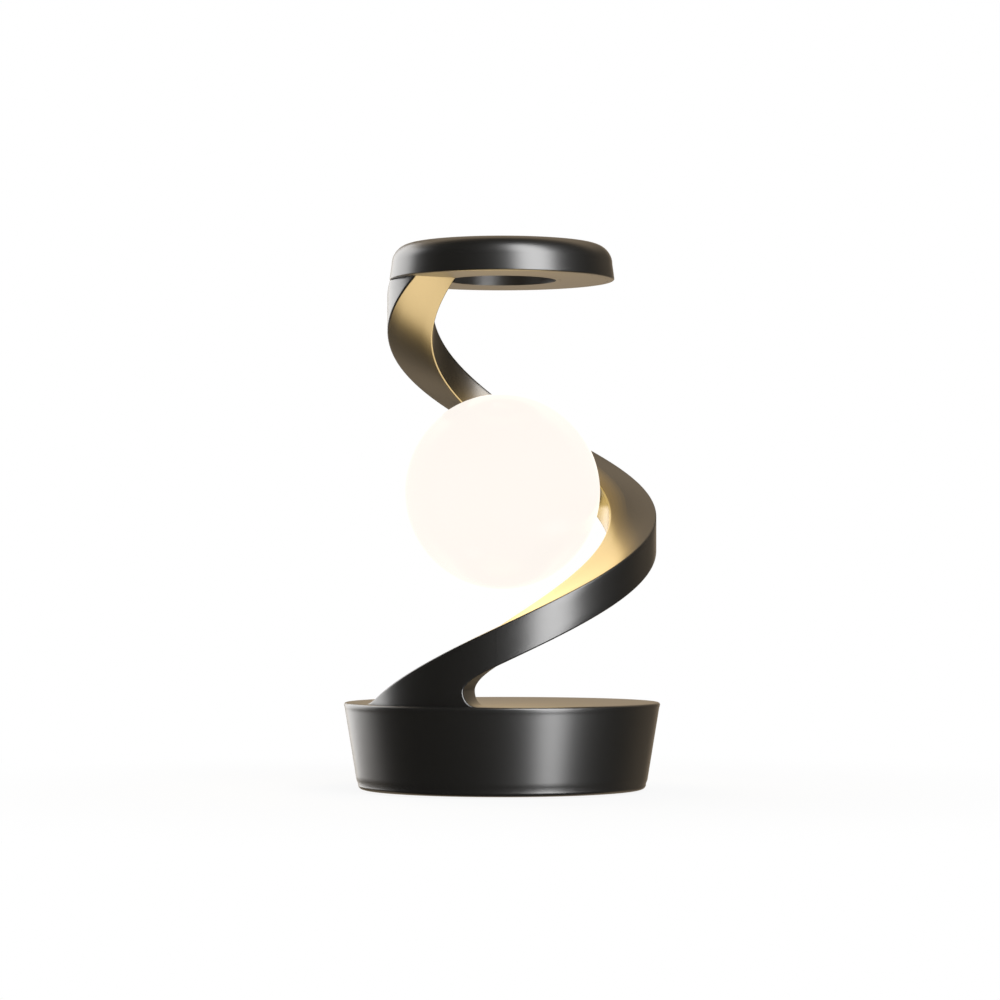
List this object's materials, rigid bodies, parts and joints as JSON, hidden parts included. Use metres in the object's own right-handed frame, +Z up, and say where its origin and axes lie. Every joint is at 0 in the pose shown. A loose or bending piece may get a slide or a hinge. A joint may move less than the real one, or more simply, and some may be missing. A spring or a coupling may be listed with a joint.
{
  "type": "bedside lamp",
  "caption": "Bedside lamp with a drum base, a helical arm that climbs to a ring-shaped top, and a glowing globe on a pivot inside the turn.",
  "frame": {"origin": "bottom centre, on the table under the middle of the drum base", "axes": "+Z up; -Y towards the viewer of the picture, with the arm's foot at the front left; +X to the right"},
  "size_m": [0.1612, 0.1612, 0.278],
  "materials": {
    "satin_black": "satin black coating, slightly metallic",
    "black_plastic": "fine moulded texture",
    "plain_steel": "plain zinc plated",
    "bright_steel": "zinc plated",
    "black_rubber": "matte rubber",
    "green_board": "printed circuit board",
    "nickel": "nickel plated",
    "ivory_plastic": "natural nylon",
    "white_lead": "soft white insulation",
    "brass": "turned brass",
    "plain_aluminium": "plain turned aluminium",
    "white_board": "white solder mask",
    "led_yellow": "phosphor over the chips",
    "opal_shell": "opal diffusing plastic, lit from inside"
  },
  "bodies": {
    "stand": {"base_housing": "satin_black", "base_plate": "black_plastic", "counterweight": "plain_steel", "weight_screws": "bright_steel", "plate_screws": "bright_steel", "rubber_pads": "black_rubber", "driver_board": "green_board", "board_screws": "bright_steel", "power_inlet": "nickel", "tact_switch": "black_plastic", "arm_shell": "satin_black", "arm_cover": "satin_black", "arm_wire": "white_lead", "ring_block": "plain_steel", "ring_screws": "bright_steel", "ring_underplate": "satin_black", "ring_housing": "satin_black", "pivot_bush": "brass"},
    "globe_unit": {"pivot_tube": "brass", "stop_washer": "bright_steel", "wave_washer": "bright_steel", "lock_nut": "bright_steel", "friction_washer": "ivory_plastic", "globe_cap": "satin_black", "tube_nut": "bright_steel", "heat_sink": "plain_aluminium", "led_board": "white_board", "led_chips": "led_yellow", "led_screws": "bright_steel", "globe_lead": "white_lead", "globe": "opal_shell"},
    "button": {"power_button": "satin_black", "switch_plunger": "ivory_plastic"}
  },
  "joints": [
    {"name": "globe_turn", "type": "hinge", "parent": "stand", "child": "globe_unit", "pos_m": [0, 0, 0.152], "axis": [0.874, 0.486, 0], "range_deg": [-165, 165]},
    {"name": "button_press", "type": "slide", "parent": "stand", "child": "button", "axis": [0, -1, 0], "range_m": [0, 0.001], "stiffness_N_per_m": 600, "springref_m": -0.001}
  ]
}
